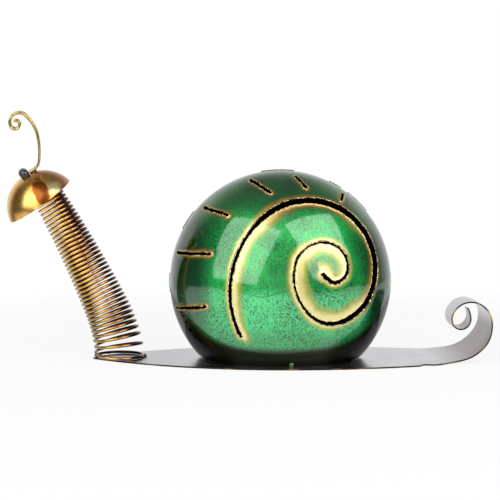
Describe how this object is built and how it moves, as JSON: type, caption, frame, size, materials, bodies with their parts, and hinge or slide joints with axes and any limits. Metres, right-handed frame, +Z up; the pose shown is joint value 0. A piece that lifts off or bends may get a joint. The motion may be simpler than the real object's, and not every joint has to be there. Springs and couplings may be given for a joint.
{
  "type": "snail figurine",
  "caption": "Sheet metal snail ornament with a hollow shell cut with a spiral, a rolled tail and a domed head on an open coil spring neck.",
  "frame": {"origin": "on the underside of the foot plate, straight below the middle of the shell", "axes": "+X towards the tail, -X is the way the snail faces, -Y is its left side, +Z up"},
  "size_m": [0.3257, 0.12, 0.1678],
  "materials": {
    "foot_steel": "polished sheet steel, heat tinted along its edges",
    "shell_green": "clear green lacquer over speckled steel, amber round the cuts",
    "shell_weld": "lacquered weld bead",
    "neck_weld": "dark weld bead",
    "neck_wire": "gold heat tint turning copper at the back",
    "head_steel": "copper and gold heat tint",
    "head_weld": "dark weld bead",
    "antenna_wire": "pale gold heat tint",
    "eye_bead": "glossy black"
  },
  "bodies": {
    "foot": {"foot_plate": "foot_steel", "shell_left_half": "shell_green", "shell_right_half": "shell_green", "shell_seam_welds": "shell_weld", "shell_foot_tacks": "shell_weld", "neck_foot_tacks": "neck_weld"},
    "neck": {"neck_spring": "neck_wire"},
    "head": {"head_dome": "head_steel", "neck_head_welds": "head_weld", "antenna_left": "antenna_wire", "antenna_right": "antenna_wire", "antenna_weld": "head_weld", "eye_left": "eye_bead", "eye_right": "eye_bead"}
  },
  "joints": [
    {"name": "neck_nod", "type": "hinge", "parent": "foot", "child": "neck", "pos_m": [-0.1165, 0, 0.032], "axis": [0, 1, 0], "range_deg": [-25, 25], "stiffness_Nm_per_rad": 0.25, "springref_deg": 7.79, "deforming": ["neck_spring"]},
    {"name": "head_sway", "type": "hinge", "parent": "neck", "child": "head", "pos_m": [-0.129, 0, 0.0585], "axis": [0.9136, 0, 0.4067], "range_deg": [-25, 25], "stiffness_Nm_per_rad": 0.2, "deforming": ["neck_spring"]}
  ]
}
